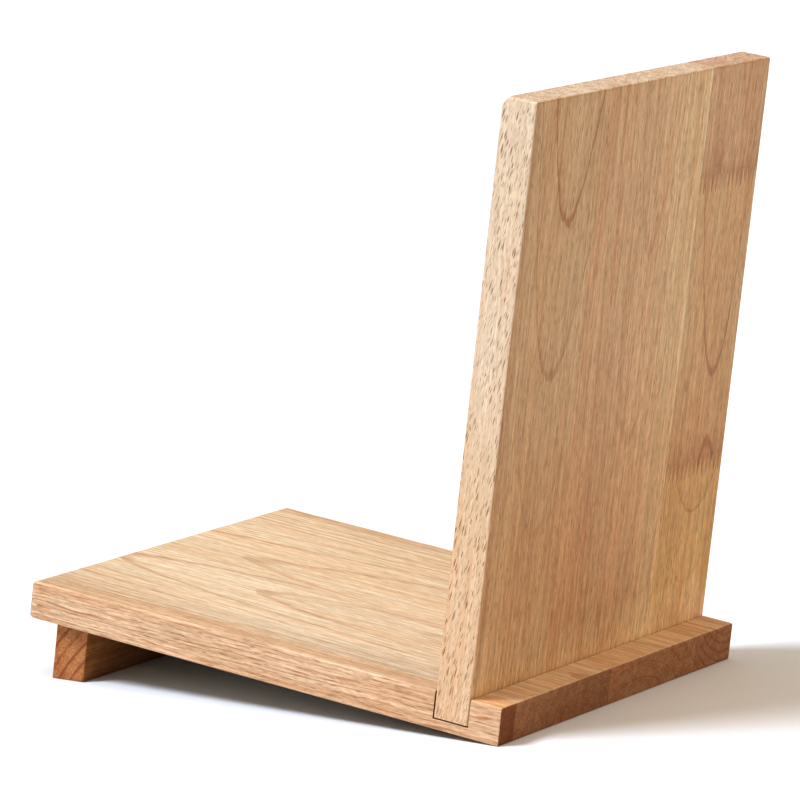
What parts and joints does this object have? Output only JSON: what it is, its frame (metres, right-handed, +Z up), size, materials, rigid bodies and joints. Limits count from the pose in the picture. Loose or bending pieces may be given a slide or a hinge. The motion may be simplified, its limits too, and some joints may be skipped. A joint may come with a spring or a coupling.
{
  "type": "book display stand",
  "caption": "Tilted wooden book stand: glued-panel base with a foot bar under one end and an upright panel housed in a dado near the other, so a row of books leans on it.",
  "frame": {"origin": "on the table, under the centre of the stand's bounding box", "axes": "+Z up; +X along the base from its raised left end to the upright; +Y from the front edge to the back edge"},
  "size_m": [0.2562, 0.205, 0.2745],
  "materials": {
    "wood_pale": "clear matt oil on pale straw hardwood",
    "wood_tan": "clear matt oil on tan hardwood",
    "wood_reddish": "clear matt oil on reddish-tan hardwood",
    "screw_steel": "bright zinc plate"
  },
  "bodies": {
    "root": {"base_stave_front": "wood_tan", "base_stave_centre_front": "wood_pale", "base_stave_centre_back": "wood_pale", "base_stave_back": "wood_reddish", "upright_stave_front": "wood_pale", "upright_stave_middle": "wood_tan", "upright_stave_back_lower": "wood_tan", "upright_stave_back_middle": "wood_pale", "upright_stave_back_upper": "wood_reddish", "foot_bar": "wood_reddish", "upright_screw_front": "screw_steel", "upright_screw_middle": "screw_steel", "upright_screw_back": "screw_steel", "foot_screw_front": "screw_steel", "foot_screw_back": "screw_steel"}
  },
  "joints": []
}
